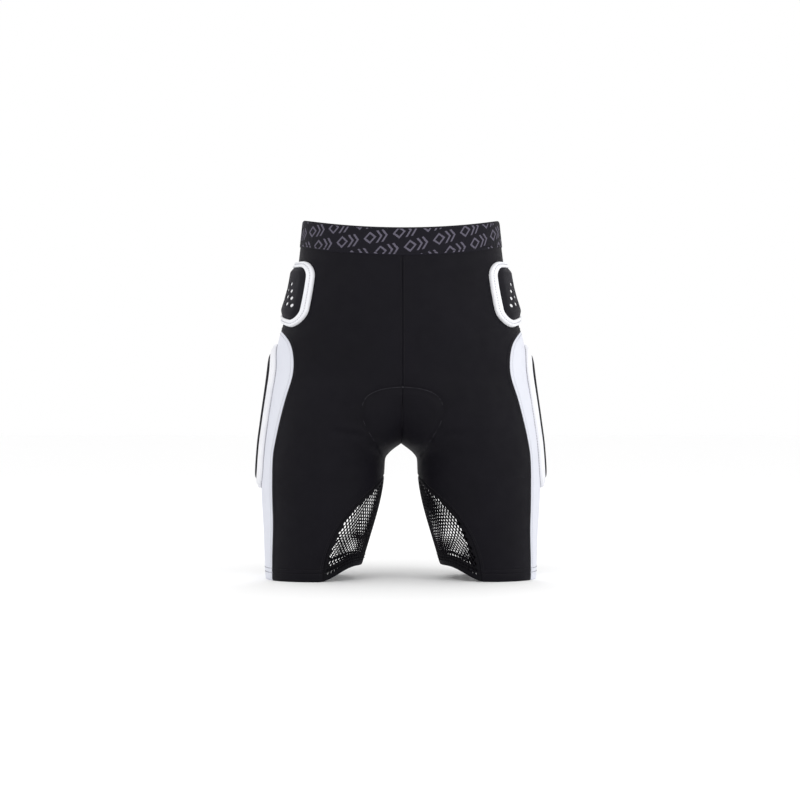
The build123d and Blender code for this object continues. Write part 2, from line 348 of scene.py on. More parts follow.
def across_row(theta0, theta1, z0, count, edges=(0.9, 2.0, 3.6)):
    """Angles across one row, evenly spaced but closer together at both seams, and their arc length."""
    t = np.linspace(theta0, theta1, 160)
    p = body_points(t, z0)
    s = arc_length(p)
    length = max(s[-1], 1e-6)
    e = np.array(edges) * min(1.0, length / 40.0)
    inner = np.linspace(e[-1], length - e[-1], count - 2 * len(edges))
    want = np.concatenate([[0], e[:-1], inner, length - e[:-1][::-1], [length]])
    return np.interp(want, s, t), want


def arch_levels(low, step):
    """Levels close together where the side panel's arch turns over."""
    edge = _edge_of[FRONT]
    top = edge[edge[:, 1] > low]
    run = arc_length(top)
    return np.interp(np.arange(0.0, run[-1], step), run, top[:, 1])


SADDLE_LEVELS = [CROTCH_Z, CROTCH_Z + 0.15, CROTCH_Z + 0.5]  # where the two legs' inner sides meet
MIDDLE_OVERLAP = 0.02  # both halves run this far over the middle plane, so that no light gets through
SEAM_DIP, SEAM_DIP_WIDTH = 0.75, 1.5  # how a seam draws the cloth in
PANEL_LEVELS = np.unique(np.round(np.concatenate([
    [0.0, 0.6, 1.6, 3.2, 5.5, 8.0, 9.6, 10.4, 11.0, 11.6, 12.4, 14.0, 15.6, 16.4, 17.0, 17.6, 18.6, 20.0],
    np.arange(24.0, 160.0, 4.0), np.arange(160.0, 276.0, 2.0), np.arange(276.0, 330.0, 3.5),
    SADDLE_LEVELS,
    arch_levels(330.0, 4.0), [SIDE_PANEL_TOP_Z],
    np.linspace(SIDE_PANEL_TOP_Z + 3.5, BAND_BOTTOM_Z + 5.0, 32),
]), 3))


def panel_grid(levels, low, high, count, face, side):
    """A grid between two seams. low and high give the seams' angles at a level, from -pi to pi."""
    theta, cloth = [], []
    for z0 in levels:
        t, s = across_row(float(low(z0)), float(high(z0)), z0, count)
        theta.append(t)
        middle = s[-1] / 2
        cloth.append(np.stack([s - middle, np.full(count, z0), np.minimum(s, s[-1] - s)], 1))
    theta, cloth = np.array(theta), np.array(cloth)
    z0 = np.broadcast_to(np.asarray(levels)[:, None], theta.shape)
    p = body_points(theta, z0).reshape(-1, 3)
    n = body_normals(theta, z0).reshape(-1, 3)
    on_middle = p[:, 0] < 0.01
    height = cloth_relief(p, face, side)
    from_seam = cloth.reshape(-1, 3)[:, 2]
    height -= SEAM_DIP * np.exp(-((from_seam / SEAM_DIP_WIDTH) ** 2))
    p = p + n * height[:, None]
    p[:, 0] = np.where(on_middle, -MIDDLE_OVERLAP, np.maximum(p[:, 0], -MIDDLE_OVERLAP))
    return p, grid_faces(len(levels), count), cloth.reshape(-1, 3)


# ---------------------------------------------------------------- rows of stitches
STITCH_SIDES = 5


def stitch_mesh(lines, length=2.3, gap=0.7, radius=0.3):
    """Short threads laid end to end along lines of (points, normals); each dips into the cloth."""
    verts, faces = [], []
    lift = np.array([-0.35, 0.12, 0.3, 0.12, -0.35])
    for points, normals in lines:
        run = arc_length(points)
        for start in np.arange(0.5, run[-1] - length, length + gap):
            at = start + length * np.linspace(0, 1, 5)
            p = np.stack([np.interp(at, run, points[:, k]) for k in range(3)], 1)
            n = np.stack([np.interp(at, run, normals[:, k]) for k in range(3)], 1)
            n = unit(n)
            along = np.gradient(p, axis=0)
            along = unit(along)
            side = np.cross(along, n)
            base = len(verts)
            for k in range(5):
                for m in range(STITCH_SIDES):
                    angle = 2 * math.pi * m / STITCH_SIDES
                    offset = side[k] * math.cos(angle) + n[k] * math.sin(angle)
                    thin = 0.75 if k in (0, 4) else 1.0
                    verts.append(p[k] + n[k] * lift[k] + offset * radius * thin)
            for k in range(4):
                for m in range(STITCH_SIDES):
                    a, b = base + k * STITCH_SIDES + m, base + k * STITCH_SIDES + (m + 1) % STITCH_SIDES
                    faces.append((a, b, b + STITCH_SIDES, a + STITCH_SIDES))
            faces.append(tuple(base + m for m in reversed(range(STITCH_SIDES))))
            faces.append(tuple(base + 4 * STITCH_SIDES + m for m in range(STITCH_SIDES)))
    return np.array(verts), faces


def seam_line(seam, low, high, offset, face, side, step=2.0, height=0.0):
    """A line that runs `offset` mm beside a seam (towards larger angles) between two levels."""
    levels = np.arange(low, high, step)
    theta = []
    for z0 in levels:
        t0 = float(seam(z0))
        t = np.linspace(t0 - 0.25, t0 + 0.25, 60)
        p = body_points(t, z0)
        s = arc_length(p)
        theta.append(np.interp(np.interp(t0, t, s) + offset, s, t))
    theta = np.array(theta)
    p, n = body_points(theta, levels), body_normals(theta, levels)
    p = p + n * (cloth_relief(p, face, side) + height)[:, None]
    return p, n


def level_line(z0, low, high, face, side, height=0.0, count=90):
    """A line at one level between two angles."""
    theta = np.linspace(low, high, count)
    p, n = body_points(theta, z0), body_normals(theta, z0)
    return p + n * (cloth_relief(p, face, side) + height)[:, None], n


# ---------------------------------------------------------------- flat patches with holes
def spaced_points(points, step):
    """Points at even steps round a closed loop."""
    loop = np.vstack([points, points[:1]])
    run = arc_length(loop)
    at = np.linspace(0, run[-1], max(8, int(run[-1] / step)), endpoint=False)
    return np.stack([np.interp(at, run, loop[:, k]) for k in (0, 1)], 1)


def rounded(corners, radii, step=1.5):
    """A closed polygon with its corners rounded, as evenly spaced points in order."""
    pts = np.array(corners, float)
    out = []
    for k, radius in enumerate(radii):
        a, b, c = pts[k - 1], pts[k], pts[(k + 1) % len(pts)]
        u, v = (a - b) / np.linalg.norm(a - b), (c - b) / np.linalg.norm(c - b)
        half = math.acos(np.clip(u @ v, -1, 1)) / 2
        reach = radius / math.tan(half)
        mid = (u + v) / np.linalg.norm(u + v) * radius / math.sin(half)
        start, end = b + u * reach - (b + mid), b + v * reach - (b + mid)
        for t in np.linspace(0, 1, 12):
            d = start * (1 - t) + end * t
            out.append(b + mid + d / np.linalg.norm(d) * radius)
    return spaced_points(np.array(out), step)


def inset(loop, amount):
    """The loop moved inwards; it has to be convex and go round anticlockwise or clockwise."""
    ahead = np.roll(loop, -1, 0) - np.roll(loop, 1, 0)
    normal = np.stack([-ahead[:, 1], ahead[:, 0]], 1)
    normal = unit(normal)
    if ((loop.mean(0) - loop) * normal).sum() < 0:
        normal = -normal
    return loop + normal * amount


def inside(points, loop):
    """Which points lie inside a closed loop."""
    x, y = points[:, :1], points[:, 1:]
    a, b = loop, np.roll(loop, -1, 0)
    crosses = (a[:, 1] > y) != (b[:, 1] > y)
    with np.errstate(divide="ignore", invalid="ignore"):
        at = a[:, 0] + (y - a[:, 1]) / (b[:, 1] - a[:, 1]) * (b[:, 0] - a[:, 0])
    return (crosses & (x < at)).sum(1) % 2 == 1


def distance_to(points, loop):
    a, b = loop, np.roll(loop, -1, 0)
    d = b - a
    t = np.clip(((points[:, None] - a) * d).sum(-1) / (d * d).sum(-1), 0, 1)
    return np.linalg.norm(points[:, None] - (a + t[..., None] * d), axis=-1).min(1)


def patch(outline, step, holes=(), rings=()):
    """Triangles that fill an outline, apart from its holes; rings are kept as edges."""
    low, high = outline.min(0), outline.max(0)
    rows = []
    for k, y in enumerate(np.arange(low[1], high[1], step * 0.87)):
        x = np.arange(low[0] + (k % 2) * step / 2, high[0], step)
        rows.append(np.stack([x, np.full_like(x, y)], 1))
    fill = np.vstack(rows)
    fill = fill[inside(fill, outline)]
    fill = fill[distance_to(fill, outline) > step * 0.55]
    if len(holes):
        middles = np.array([h.mean(0) for h in holes])
        reach = max(np.linalg.norm(h - h.mean(0), axis=1).max() for h in list(holes) + list(rings))
        near = np.linalg.norm(fill[:, None] - middles, axis=-1).min(1)
        fill = fill[near > reach + step * 0.35]
    loops = [outline, *holes, *rings]
    verts = [Vector(p) for loop in loops for p in loop] + [Vector(p) for p in fill]
    edges, base = [], 0
    for loop in loops:
        edges += [(base + k, base + (k + 1) % len(loop)) for k in range(len(loop))]
        base += len(loop)
    out, _, faces, *_ = delaunay_2d_cdt(verts, edges, [], 0, 1e-5)
    points = np.array([tuple(p) for p in out])
    tris = np.array([f for f in faces if len(f) == 3])
    middle = points[tris].mean(1)
    keep = inside(middle, outline)
    if len(holes):
        nearest = np.linalg.norm(middle[:, None] - middles, axis=-1).argmin(1)
        for k, hole in enumerate(holes):
            mine = np.where(nearest == k)[0]
            if len(mine):
                keep[mine[inside(middle[mine], hole)]] = False
    tris = tris[keep]
    used, tris = np.unique(tris, return_inverse=True)
    tris = tris.reshape(-1, 3)
    points = points[used]
    a, b, c = points[tris[:, 0]], points[tris[:, 1]], points[tris[:, 2]]
    area = (b - a)[:, 0] * (c - a)[:, 1] - (b - a)[:, 1] * (c - a)[:, 0]
    tris[area < 0] = tris[area < 0][:, ::-1]
    return points, tris


def slab(outer, inner, faces):
    """A closed solid between two copies of an open surface, with a wall along its free edges."""
    n = len(outer)
    faces = [tuple(map(int, f)) for f in faces]
    used = {}
    for f in faces:
        for a, b in zip(f, f[1:] + f[:1]):
            used[(a, b)] = True
    walls = [(a, n + a, n + b, b) for a, b in used if (b, a) not in used]
    under = [tuple(n + k for k in reversed(f)) for f in faces]
    return np.vstack([outer, inner]), faces + under + walls


# ---------------------------------------------------------------- shader helpers
class Value:
    """A number worked out by the shader. It takes + - * / < > and abs() as a plain number does."""

    def __init__(self, shader, socket):
        self.shader, self.socket = shader, socket

    def then(self, operation, *others):
        return self.shader.math(operation, self, *others)

    def __add__(self, other):
        return self.then("ADD", other)

    def __sub__(self, other):
        return self.then("SUBTRACT", other)

    def __mul__(self, other):
        return self.then("MULTIPLY", other)

    def __truediv__(self, other):
        return self.then("DIVIDE", other)

    def __lt__(self, other):
        return self.then("LESS_THAN", other)

    def __gt__(self, other):
        return self.then("GREATER_THAN", other)

    def __abs__(self):
        return self.then("ABSOLUTE")


class Shader:
    """A material's node tree, with short calls for the nodes that the cloth and foam use."""

    def __init__(self, name):
        self.material = bpy.data.materials.new(name)
        self.material.use_nodes = True
        self.tree = self.material.node_tree
        self.bsdf = next(n for n in self.tree.nodes if n.type == "BSDF_PRINCIPLED")

    def node(self, kind, **settings):
        made = self.tree.nodes.new(kind)
        for key, value in settings.items():
            setattr(made, key, value)
        return made

    def feed(self, socket, value):
        if isinstance(value, Value):
            value = value.socket
        if isinstance(value, bpy.types.NodeSocket):
            self.tree.links.new(value, socket)
        else:
            socket.default_value = value

    def math(self, operation, *values):
        made = self.node("ShaderNodeMath", operation=operation)
        for socket, value in zip(made.inputs, values):
            self.feed(socket, value)
        return Value(self, made.outputs[0])

    def cloth(self):
        """Millimetres across and along the cloth, from the piece's own attribute."""
        attribute = self.node("ShaderNodeAttribute", attribute_name="cloth")
        split = self.node("ShaderNodeSeparateXYZ")
        self.feed(split.inputs[0], attribute.outputs["Vector"])
        return [Value(self, split.outputs[k]) for k in range(3)]

    def position(self):
        return self.node("ShaderNodeTexCoord").outputs["Object"]

    def noise(self, scale, detail=2.0, vector=None, roughness=0.5):
        made = self.node("ShaderNodeTexNoise")
        self.feed(made.inputs["Vector"], self.position() if vector is None else vector)
        made.inputs["Scale"].default_value = scale
        made.inputs["Detail"].default_value = detail
        made.inputs["Roughness"].default_value = roughness
        return Value(self, made.outputs["Fac"])

    def ramp(self, value, low, high, to_low=0.0, to_high=1.0):
        made = self.node("ShaderNodeMapRange", clamp=True)
        for key, number in (("From Min", low), ("From Max", high), ("To Min", to_low), ("To Max", to_high)):
            made.inputs[key].default_value = number
        self.feed(made.inputs["Value"], value)
        return Value(self, made.outputs[0])

    def mix(self, factor, first, second):
        made = self.node("ShaderNodeMix", data_type="RGBA")
        self.feed(made.inputs["Factor"], factor)
        colours = [s for s in made.inputs if s.type == "RGBA"]
        self.feed(colours[0], first)
        self.feed(colours[1], second)
        return next(s for s in made.outputs if s.type == "RGBA")

    def bump(self, height, distance_mm, strength=1.0):
        made = self.node("ShaderNodeBump")
        made.inputs["Distance"].default_value = distance_mm * MM
        made.inputs["Strength"].default_value = strength
        self.feed(made.inputs["Height"], height)
        self.feed(self.bsdf.inputs["Normal"], made.outputs[0])

    def set(self, **sockets):
        for key, value in sockets.items():
            self.feed(self.bsdf.inputs[key.replace("_", " ")], value)
        return self.material


def linear(r, g, b):
    """A linear colour from the usual 0-255 display values."""
    values = [c / 255 for c in (r, g, b)]
    return (*[c / 12.92 if c <= 0.04045 else ((c + 0.055) / 1.055) ** 2.4 for c in values], 1.0)


def knit_height(u, v, wale=0.85, course=0.7):
    """The loops of a fine warp knit, 0 to 1, from millimetres across and along."""
    rib = abs((u * (math.pi / wale)).then("SINE"))
    rows = ((v / course + rib * 0.35) * (2 * math.pi)).then("SINE")
    return rib.then("POWER", 0.7) * ((rows * 0.5 + 0.5) * 0.6 + 0.4)


def stretch_knit(name, base, dark, sheen, gloss=0.1, roughness=0.72):
    s = Shader(name)
    u, v, _ = s.cloth()
    knit = knit_height(u, v)
    slow = s.ramp(s.noise(14.0, 3.0), 0.3, 0.7)
    fibres = s.noise(1500.0, 2.0)
    tone = knit * 0.45 + fibres * 0.35 + slow * 0.25
    rough = s.ramp(s.noise(60.0, 3.0), 0.3, 0.7, roughness - 0.05, roughness + 0.05)
    s.bump(knit + fibres * 0.3, 0.14, 0.8)
    return s.set(
        Base_Color=s.mix(s.ramp(tone, 0.15, 0.95), dark, base), Roughness=rough,
        Sheen_Weight=sheen, Sheen_Roughness=0.45, Sheen_Tint=(0.72, 0.64, 0.9, 1.0),
        Specular_IOR_Level=gloss,
    )


# The jacquard's woven signs, in millimetres. Each row of them is moved along by a share of a cell.
SIGN_ROW, SIGN_CELL, ROW_SHIFT, ROW_SLOPE = 21.0, 41.0, 0.37, 0.2
SIGN_STROKE, SIGN_HALF_HEIGHT = 1.35, 8.2
DIAMOND_MIDDLE, DIAMOND_REACH, DIAMOND_SLOPE = 10.5, 7.4, 1.1
CHEVRON_PLACES, CHEVRON_REACH, CHEVRON_SLOPE = (21.5, 29.0), 5.2, 0.75
PLAIN_BELOW, PLAIN_ABOVE = 1.6, 2.2  # the band's edges are woven without signs


def woven_signs(s, u, v, outer):
    """1 on the strokes of slanted diamonds and chevrons on the band's outer side, 0 elsewhere."""
    slanted = v - u * ROW_SLOPE
    grain = (s.noise(900.0, 2.0) - 0.5) * 1.6
    row = (slanted / SIGN_ROW).then("FLOOR")
    height = (slanted / SIGN_ROW).then("FRACT") * SIGN_ROW - SIGN_ROW / 2 + grain
    shifted = u + row * (SIGN_CELL * ROW_SHIFT)
    x = (shifted / SIGN_CELL).then("FRACT") * SIGN_CELL + grain
    rise = abs(height)
    diamond = abs(x - DIAMOND_MIDDLE) + rise * DIAMOND_SLOPE
    marks = abs(diamond - DIAMOND_REACH) < SIGN_STROKE * 1.25
    for place in CHEVRON_PLACES:
        chevron = x + rise * CHEVRON_SLOPE
        stroke = abs(chevron - (place + CHEVRON_REACH)) < SIGN_STROKE * 1.15
        marks = marks.then("MAXIMUM", stroke)
    inside_band = (v > PLAIN_BELOW) * (v < BAND_HEIGHT - PLAIN_ABOVE)
    return marks * (rise < SIGN_HALF_HEIGHT) * inside_band * (outer > 0.5)


def jacquard_elastic(name):
    """Ribbed elastic with rows of slanted diamonds and chevrons woven into it."""
    s = Shader(name)
    u, v, outer = s.cloth()
    marks = woven_signs(s, u, v, outer)
    ribs = abs((u * (math.pi / 1.1)).then("SINE"))
    picks = abs((v * (math.pi / 0.75)).then("SINE"))
    weave = (ribs * 0.5 + 0.5) * (picks * 0.5 + 0.5)
    ground = s.mix(weave, linear(7, 7, 9), linear(24, 22, 31))
    thread = s.mix(weave, linear(62, 59, 70), linear(102, 98, 112))
    s.bump(weave + marks * 0.6, 0.25, 0.8)
    return s.set(
        Base_Color=s.mix(marks, ground, thread), Roughness=s.ramp(weave, 0.0, 1.0, 0.85, 0.68),
        Sheen_Weight=0.02, Sheen_Roughness=0.5, Specular_IOR_Level=0.12,
    )


def moulded_foam(name, base, shade, roughness=0.6):
    """Closed-cell foam with a fine skin."""
    s = Shader(name)
    cells = s.noise(2600.0, 2.0)
    slow = s.noise(22.0, 4.0)
    colour = s.mix(s.ramp(cells * 0.3 + slow * 0.7, 0.3, 0.7), shade, base)
    s.bump(cells + slow * 0.2, 0.07, 0.7)
    rough = s.ramp(s.noise(90.0, 3.0), 0.3, 0.7, roughness - 0.07, roughness + 0.07)
    return s.set(Base_Color=colour, Roughness=rough, Specular_IOR_Level=0.35)


def twisted_thread(name, light, dark):
    s = Shader(name)
    twist = s.noise(2400.0, 1.0)
    s.bump(twist, 0.08, 0.8)
    return s.set(
        Base_Color=s.mix(s.ramp(twist, 0.3, 0.7), dark, light), Roughness=0.62,
        Sheen_Weight=0.03, Specular_IOR_Level=0.2,
    )


MATERIALS = {
    "black": stretch_knit("black_stretch_knit", linear(15, 13, 21), linear(7, 6, 11), 0.015, 0.11, 0.6),
    "white": stretch_knit(
        "white_stretch_knit", linear(226, 228, 236), linear(211, 213, 222), 0.02, 0.2, 0.82
    ),
    "mesh": stretch_knit("black_mesh_knit", linear(17, 16, 21), linear(7, 7, 10), 0.02),
    "cover": stretch_knit("pad_cover_knit", linear(25, 24, 31), linear(12, 11, 16), 0.03, 0.14, 0.66),
    "fleece": stretch_knit("seat_pad_fleece", linear(52, 52, 58), linear(24, 24, 28), 0.35, 0.1, 0.9),
    "band": jacquard_elastic("jacquard_elastic"),
    "shell": moulded_foam("white_moulded_foam", linear(238, 238, 241), linear(224, 225, 230)),
    "core": moulded_foam("white_foam_core", linear(236, 236, 238), linear(218, 218, 222), 0.75),
    "seat_foam": moulded_foam("grey_seat_foam", linear(96, 96, 102), linear(66, 66, 72), 0.85),
    "thread_black": twisted_thread("black_thread", linear(30, 29, 35), linear(10, 9, 12)),
    "thread_white": twisted_thread("white_thread", linear(224, 224, 230), linear(178, 179, 187)),
    # Pale grey thread of the pads' stitches; round the thigh pad's foot it is also painted shade along the
    # pad's wall.
    "thread_pale_and_foot_shade": twisted_thread("pale_grey_thread_and_foot_shade", linear(176, 177, 184), linear(126, 127, 136)),
    # Dark grey thread of the seat pad's outline; lighter than the black cloth, its dots are partly painted
    # glints along the outline.
    "thread_dark_and_glints": twisted_thread("dark_grey_thread_and_glints", linear(92, 90, 98), linear(44, 43, 48)),
    "thread_grey": twisted_thread("grey_thread", linear(128, 128, 138), linear(84, 84, 92)),
}


def settle(piece, nodes=(), body=None, side="left"):
    """Hides a piece's CAD nodes and hangs it on its body; with no body, bakes its place into its points.
    The side is not used.
    """
    if nodes:
        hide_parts(*nodes)
    if body:
        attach(piece, body)
        return piece
    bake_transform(piece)
    return piece


def weld(obj, distance=0.02):
    mesh = bmesh.new()
    mesh.from_mesh(obj.data)
    bmesh.ops.remove_doubles(mesh, verts=mesh.verts, dist=distance * MM)
    bmesh.ops.dissolve_degenerate(mesh, edges=mesh.edges, dist=distance * MM)
    mesh.to_mesh(obj.data)
    mesh.free()
    return obj


def declare_sheet(points, rows, cols):
    """Reshapes the grid of the cloth's face into metres, and does nothing more with it."""
    p = points.reshape(rows, cols, 3) * MM


# ---------------------------------------------------------------- stretch panels
HEM_ROWS = (11.0, 17.0)
HEM_RISE, HEM_ROW_DIP, HEM_ROLL = 0.45, 0.5, 0.9  # the doubled cloth, its rows of stitches, its lower edge
FRONT_COLUMNS, SIDE_COLUMNS = 66, 44


def hem_relief(z0):
    """The turned-up hem: twice the cloth, drawn in along both rows of stitches, rolled at the edge."""
    height = HEM_RISE * smooth((19.5 - z0) / 1.5)
    for row in HEM_ROWS:
        height = height - HEM_ROW_DIP * np.exp(-(((z0 - row) / 1.1) ** 2))
    return height - HEM_ROLL * np.exp(-(z0**2))


def cloth_panel(name, side, material, nodes, seams, face, columns, top, ridge=0.0):
    """One panel of stretch knit from the hem to `top`, between two seams."""
    levels = PANEL_LEVELS[PANEL_LEVELS <= top + 1e-6]
    points, faces, cloth = panel_grid(levels, *seams, columns, face, side)
    z0, from_seam = cloth[:, 1], cloth[:, 2]
    theta_normals = grid_normals(points, len(levels), columns)
    rise = hem_relief(z0) + ridge * np.exp(-(((from_seam - 2.0) / 1.3) ** 2))
    points = points + theta_normals * rise[:, None]
    verts, faces = mirrored(points, faces, side)
    piece = make(f"{name}_{side}", verts, faces, MATERIALS[material], attributes={"cloth": cloth})
    thicken(weld(piece), CLOTH)
    settle(piece, nodes, side=side)
    declare_sheet(points, len(levels), columns)
    return piece


def grid_normals(points, rows, cols):
    """Outward directions of a grid whose columns run with rising angle."""
    p = points.reshape(rows, cols, 3)
    n = np.cross(np.gradient(p, axis=1), np.gradient(p, axis=0)).reshape(-1, 3)
    return n / np.maximum(np.linalg.norm(n, axis=1, keepdims=True), 1e-9)


front_inner, rear_inner = partial(inner_seam, FRONT), partial(inner_seam, REAR)
front_side, rear_side = partial(side_seam, FRONT), partial(side_seam, REAR)


def make_panels(side):
    top = BAND_BOTTOM_Z + 5.0
    cloth_panel(
        "front_cloth", side, "black",
        (f"front_panel_{side}", f"front_leg_panel_{side}"),
        (front_inner, front_side), FRONT, FRONT_COLUMNS, top,
    )
    cloth_panel(
        "rear_cloth", side, "black",
        (f"rear_panel_{side}", f"rear_leg_panel_{side}"),
        (rear_side, rear_inner), REAR, FRONT_COLUMNS, top,
    )
    cloth_panel(
        "side_cloth", side, "white",
        (f"side_panel_top_{side}", f"side_panel_{side}"),
        (front_side, rear_side), FRONT, SIDE_COLUMNS, SIDE_PANEL_TOP_Z, ridge=0.7,
    )


# ---------------------------------------------------------------- hem facing inside the leg
FACING_THICKNESS = 0.9


def make_hem_facing(side):
    levels = np.linspace(0.8, HEM_HEIGHT + 1.0, 12)
    columns = 150
    rows = []
    for z0 in levels:
        theta, _ = across_row(float(front_inner(z0)), float(rear_inner(z0)), z0, columns)
        rows.append(body_points(theta, z0) - body_normals(theta, z0) * (CLOTH + 0.35))
    points = np.array(rows).reshape(-1, 3)
    cloth = np.zeros((len(points), 3))
    cloth[:, 0] = np.tile(np.linspace(0, 430, columns), len(levels))
    cloth[:, 1] = np.repeat(levels, columns)
    verts, faces = mirrored(points, grid_faces(len(levels), columns), side)
    piece = make(f"hem_facing_{side}", verts, faces, MATERIALS["black"], attributes={"cloth": cloth})
    thicken(piece, FACING_THICKNESS)
    settle(piece, (f"hem_facing_{side}",), side=side)
    declare_sheet(points, len(levels), columns)


# ---------------------------------------------------------------- waistband
# Round the band's section: how far out from the form, how far up, and whether it shows the weave.
BAND_SECTION = [
    (-1.6, 2.0, 0), (-1.3, 0.6, 0), (-0.4, 0.0, 0), (0.5, 0.3, 1), (0.95, 1.4, 1),
    (1.05, 3.0, 1), (0.65, 4.2, 1), (1.05, 5.4, 1), *[(1.1, 5.4 + 2.55 * k, 1) for k in range(1, 12)],
    (0.85, 35.0, 1), (0.4, 36.5, 1), (-0.3, 37.6, 0), (-1.1, 38.0, 0), (-1.8, 37.6, 0), (-2.0, 36.2, 0),
    *[(-1.7, 36.2 - 3.4 * k, 0) for k in range(1, 10)],
]


def make_waistband():
    half = 170
    rows = []
    for out, up, _ in BAND_SECTION:
        z0 = BAND_BOTTOM_Z + up
        middle = abs(float(front_inner(z0)))
        theta = np.linspace(-middle, middle, half)
        p = body_points(theta, z0) + body_normals(theta, z0) * out
        p[[0, -1], 0] = 0.0
        ripple = 0.12 * np.sin(np.linspace(0, 96 * math.pi, half)) * (1 if out > 0 else 0)
        p += body_normals(theta, z0) * ripple[:, None]
        whole = np.vstack([(p * [-1, 1, 1])[::-1][:-1], p])
        rows.append(whole)
    points = np.array(rows)
    count = points.shape[1]
    u = arc_length(points[10])
    u -= u[half - 1]
    cloth = np.zeros((len(BAND_SECTION), count, 3))
    cloth[..., 0] = u
    cloth[..., 1] = np.array([up for _, up, _ in BAND_SECTION])[:, None]
    cloth[..., 2] = np.array([shown for *_, shown in BAND_SECTION])[:, None]
    k, j = np.meshgrid(np.arange(len(BAND_SECTION)), np.arange(count - 1), indexing="ij")
    a, b = k * count + j, ((k + 1) % len(BAND_SECTION)) * count + j
    faces = np.stack([a, a + 1, b + 1, b], -1).reshape(-1, 4).tolist()
    ends = [[r * count for r in range(len(BAND_SECTION))][::-1],
            [r * count + count - 1 for r in range(len(BAND_SECTION))]]
    piece = make(
        "waistband_elastic", points, faces + ends, MATERIALS["band"],
        attributes={"cloth": cloth.reshape(-1, 3)},
    )
    settle(piece, ("waistband",), body="pelvis")


# ---------------------------------------------------------------- places on the form, from views
PAD_RIM = 8.0  # how far the pads stand out; their outlines are drawn at that height


def on_form(z, angle_at):
    """The angle and level of points at true height z; angle_at gives the angle at a level."""
    z0 = np.asarray(z, float).copy()
    for _ in range(12):
        z0 += z - body_points(angle_at(z0), z0)[..., 2]
    return angle_at(z0), z0


def from_side(points, grow):
    """Angle and level of side-view points (y, z) seen on the form grown by `grow`."""
    y, z = points[:, 0], points[:, 1]

    def angle_at(z0):
        depth = np.where(y > 0, rear_depth(z0), front_depth(z0)) + grow
        return np.arcsin(np.clip(y / depth, -1, 1))

    return on_form(z, angle_at)


def from_face(points, face, grow):
    """Angle and level of front-view or rear-view points (x, z) on the left half."""
    x, z = np.abs(points[:, 0]), points[:, 1]

    def angle_at(z0):
        return face * np.arccos(np.clip((x - centre(z0)) / (half_width(z0) + grow), -1, 1))

    return on_form(z, angle_at)


def placed(points, heights, view, grow=PAD_RIM):
    """Points of a side, front or rear view, set that far above the form, with their normals."""
    theta, z0 = from_side(points, grow) if view == "side" else from_face(points, view, grow)
    p, n = body_points(theta, z0), body_normals(theta, z0)
    if view != "side":
        flip = np.where(points[:, :1] < 0, -1.0, 1.0) * np.array([[1.0, 0, 0]]) + np.array([[0, 1.0, 1.0]])
        p, n = p * flip, n * flip
    return p + n * np.asarray(heights)[..., None], n


# ---------------------------------------------------------------- impact pads
RIM_WIDTH = 8.8
# Across the rim: distance from the outline, and height over the cloth. It ends under the cover.
RIM_PROFILE = [
    (0.3, -0.6), (0.0, 0.4), (0.0, 2.4), (0.3, 3.9), (0.9, 5.1), (1.8, 5.8), (2.7, 5.7), (3.3, 5.1),
    (3.7, 4.9), (4.1, 5.1), (4.8, 6.3), (5.8, 7.4), (6.9, 7.8), (7.8, 7.5), (8.4, 6.5),
    (8.8, 4.9), (8.9, 2.0), (8.7, -0.6),
]
# Rows of stitches: distance inside the outline, and height. The second goes round the pad's foot in pale
# grey thread, partly as painted shade: it darkens the line where the pad's wall meets the cloth.
GROOVE_ROW, FOOT_SHADE_ROW = (3.7, 4.9), (-0.7, 0.35)
VENT_WIDTH, VENT_HEIGHT = 8.0, 5.2
VENT_COLUMNS, VENT_ROWS = 15.0, 10.4
VENT_RIM, VENT_DIP = 1.28, 1.1  # a vent's sunk rim: its size to the vent's, and its depth
COVER_EDGE, COVER_CROWN, COVER_THICKNESS = 5.6, 4.4, 1.5
EDGE_TUCK = 0.5
CORE_GAP, CORE_UNDER = 1.35, -0.5  # from the cover's face to the core, and the core's underside
PADS = {
    "hip_pad": dict(
        view="side", corners=[(-74.0, 350.0), (-64.5, 446.0), (38.0, 449.0), (54.0, 372.0)],
        radii=(22, 26, 28, 28), vents=((-15.5, 402.0), 4, 4, 2.5, 6.0), stitches=[GROOVE_ROW],
    ),
    "thigh_pad": dict(
        view="side", corners=[(-23.0, 128.0), (-24.0, 332.0), (76.0, 332.0), (66.0, 128.0)],
        radii=(32, 42, 44, 34), vents=((27.0, 230.0), 3, 12, 0.0, 0.0), stitches=[GROOVE_ROW, FOOT_SHADE_ROW],
    ),
    "tailbone_pad": dict(
        view=REAR, corners=[(-56.0, 446.0), (56.0, 446.0), (34.0, 318.0), (-34.0, 318.0)],
        radii=(24, 24, 28, 28), vents=((0.0, 384.0), 3, 7, 0.0, 0.0), stitches=[GROOVE_ROW],
    ),
}


def vent_loops(centre, columns, rows, rise, lean, outline):
    """Rounded diamonds in columns, each `rise` higher than the last; every row leans `lean` on."""
    turn = np.linspace(0, 2 * math.pi, 16, endpoint=False)
    shape = np.stack([
        VENT_WIDTH / 2 * np.sign(np.cos(turn)) * np.abs(np.cos(turn)) ** 1.35,
        VENT_HEIGHT / 2 * np.sign(np.sin(turn)) * np.abs(np.sin(turn)) ** 1.35,
    ], 1)
    loops = []
    for column in range(columns):
        for row in range(rows):
            at = np.array([
                centre[0] + (column - (columns - 1) / 2) * VENT_COLUMNS + (row - (rows - 1) / 2) * lean,
                centre[1] + (column - (columns - 1) / 2) * rise
                + (row - (rows - 1) / 2) * VENT_ROWS,
            ])
            if inside(at[None], outline)[0] and distance_to(at[None], outline)[0] > VENT_WIDTH:
                loops.append(at + shape)
    return loops


def cover_height(points, outline):
    return COVER_EDGE + COVER_CROWN * smooth((distance_to(points, outline) + 1.5) / 10.0)


